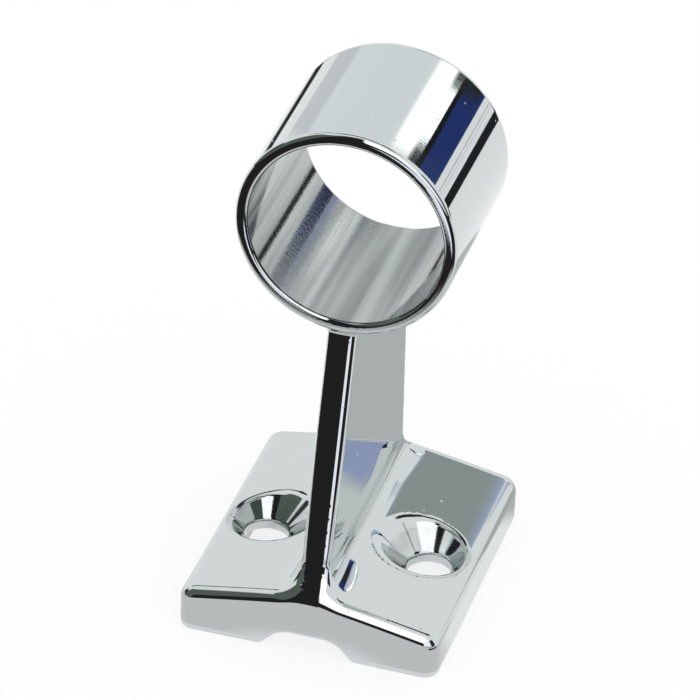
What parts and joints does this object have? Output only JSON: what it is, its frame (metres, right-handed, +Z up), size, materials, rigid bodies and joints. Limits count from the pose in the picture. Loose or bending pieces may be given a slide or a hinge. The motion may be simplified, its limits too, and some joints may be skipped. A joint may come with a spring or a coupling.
{
  "type": "handrail bracket",
  "caption": "Chrome centre bracket for a round handrail: open collar on an upright web over a crowned base plate with countersunk screw holes.",
  "frame": {"origin": "middle of the base plate's foot, on the surface that it is screwed to", "axes": "+Z up from the mounting surface, +Y along the rail's axis towards the web's steep back edge, +X across the web"},
  "size_m": [0.035, 0.04, 0.0717],
  "materials": {
    "chrome": "polished chrome plating"
  },
  "bodies": {
    "root": {"bracket": "chrome"}
  },
  "joints": []
}
